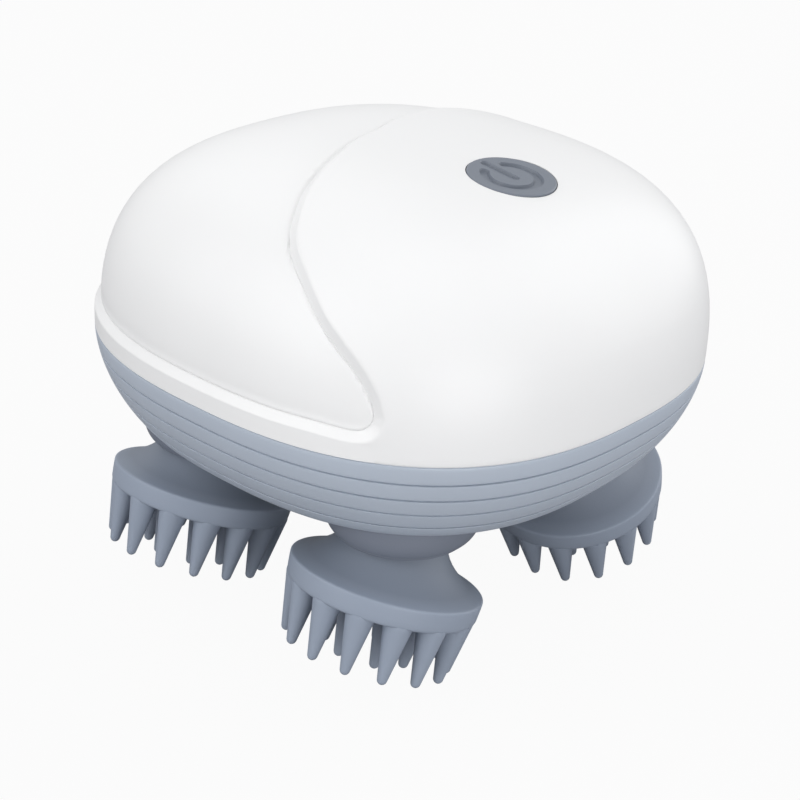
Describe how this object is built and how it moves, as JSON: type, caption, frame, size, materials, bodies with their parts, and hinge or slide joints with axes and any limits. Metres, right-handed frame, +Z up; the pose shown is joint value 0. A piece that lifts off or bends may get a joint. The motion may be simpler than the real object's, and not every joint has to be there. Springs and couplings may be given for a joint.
{
  "type": "electric scalp massager",
  "caption": "Hand-held electric scalp massager: a glossy split-skin dome with a power button on a ribbed base, over tilted spinning claw heads driven by a motor through worms.",
  "frame": {"origin": "On the surface the fingertips rest on, under the middle of the body.", "axes": "+Z up, out of the top of the dome; +Y the long way of the body, with the power button towards -Y and the charging port towards +Y; +X to the right."},
  "size_m": [0.108, 0.112, 0.0909],
  "materials": {
    "shell_white": "smooth satin gloss, moulded",
    "panel_white": "smooth satin gloss, moulded",
    "base_grey": "fine satin, blue-grey, with thin grooves",
    "button_grey": "fine satin with an engraved power symbol",
    "collar_grey": "fine satin, darker blue-grey",
    "claw_rubber": "soft matte silicone, blue-grey",
    "inner_plastic": "moulded, light grey",
    "hub_plastic": "moulded, dark grey",
    "nylon": "natural nylon",
    "steel": "turned",
    "brass": "turned",
    "copper": "enamelled copper windings",
    "magnet": "sintered, dark",
    "black_rubber": "soft, black",
    "battery_wrap": "shrink sleeve",
    "board_green": "solder mask"
  },
  "bodies": {
    "case": {"main_shell": "shell_white", "side_panel": "panel_white", "base_shell": "base_grey", "seam_seal": "black_rubber", "button_guide": "inner_plastic", "tact_switch": "hub_plastic", "circuit_board": "board_green", "board_screws": "steel", "battery": "battery_wrap", "battery_cradle": "inner_plastic", "battery_strap": "black_rubber", "motor_can": "steel", "motor_caps": "hub_plastic", "motor_magnets": "magnet", "shaft_bushes": "brass", "motor_clamp": "inner_plastic", "clamp_screws": "steel", "gear_tray": "inner_plastic", "tray_screws": "steel", "case_screws": "steel", "charge_board": "board_green", "charge_screws": "steel", "charge_socket": "steel", "shaft_seals": "black_rubber", "socket_collar_front_left": "collar_grey", "socket_collar_front_right": "collar_grey", "socket_collar_rear_left": "collar_grey", "socket_collar_rear_right": "collar_grey", "spindle_bush_front_left": "brass", "spindle_bush_front_right": "brass", "spindle_bush_rear_left": "brass", "spindle_bush_rear_right": "brass"},
    "button": {"power_button": "button_grey", "switch_plunger": "nylon"},
    "plug": {"port_plug": "black_rubber"},
    "drive": {"rotor": "copper", "worm_shaft": "steel", "worm_front": "brass", "worm_rear": "brass"},
    "head_front_left": {"spindle_front_left": "steel", "worm_wheel_front_left": "nylon", "head_hub_front_left": "hub_plastic", "head_claw_front_left": "claw_rubber", "head_screw_front_left": "steel"},
    "head_front_right": {"spindle_front_right": "steel", "worm_wheel_front_right": "nylon", "head_hub_front_right": "hub_plastic", "head_claw_front_right": "claw_rubber", "head_screw_front_right": "steel"},
    "head_rear_left": {"spindle_rear_left": "steel", "worm_wheel_rear_left": "nylon", "head_hub_rear_left": "hub_plastic", "head_claw_rear_left": "claw_rubber", "head_screw_rear_left": "steel"},
    "head_rear_right": {"spindle_rear_right": "steel", "worm_wheel_rear_right": "nylon", "head_hub_rear_right": "hub_plastic", "head_claw_rear_right": "claw_rubber", "head_screw_rear_right": "steel"}
  },
  "joints": [
    {"name": "button_press", "type": "slide", "parent": "case", "child": "button", "axis": [0, -0.1178, 0.993], "range_m": [-0.0008, 0], "stiffness_N_per_m": 900, "springref_m": 0.0003},
    {"name": "plug_pull", "type": "slide", "parent": "case", "child": "plug", "axis": [0, 1, 0], "range_m": [0, 0.008]},
    {"name": "motor_spin", "type": "hinge", "parent": "case", "child": "drive", "pos_m": [0, 0, 0.05014], "axis": [0, 1, 0], "continuous": true},
    {"name": "head_front_left_spin", "type": "hinge", "parent": "case", "child": "head_front_left", "pos_m": [-0.0284, -0.0246, 0.01988], "axis": [0.3256, 0, 0.9455], "continuous": true},
    {"name": "head_front_right_spin", "type": "hinge", "parent": "case", "child": "head_front_right", "pos_m": [0.0284, -0.0246, 0.01988], "axis": [-0.3256, 0, 0.9455], "continuous": true},
    {"name": "head_rear_left_spin", "type": "hinge", "parent": "case", "child": "head_rear_left", "pos_m": [-0.0284, 0.0246, 0.01988], "axis": [0.3256, 0, 0.9455], "continuous": true},
    {"name": "head_rear_right_spin", "type": "hinge", "parent": "case", "child": "head_rear_right", "pos_m": [0.0284, 0.0246, 0.01988], "axis": [-0.3256, 0, 0.9455], "continuous": true}
  ],
  "couplings": [
    {"joint": "head_front_left_spin", "follows": "motor_spin", "ratio": 0.03125},
    {"joint": "head_front_right_spin", "follows": "motor_spin", "ratio": -0.03125},
    {"joint": "head_rear_left_spin", "follows": "motor_spin", "ratio": -0.03125},
    {"joint": "head_rear_right_spin", "follows": "motor_spin", "ratio": 0.03125}
  ]
}
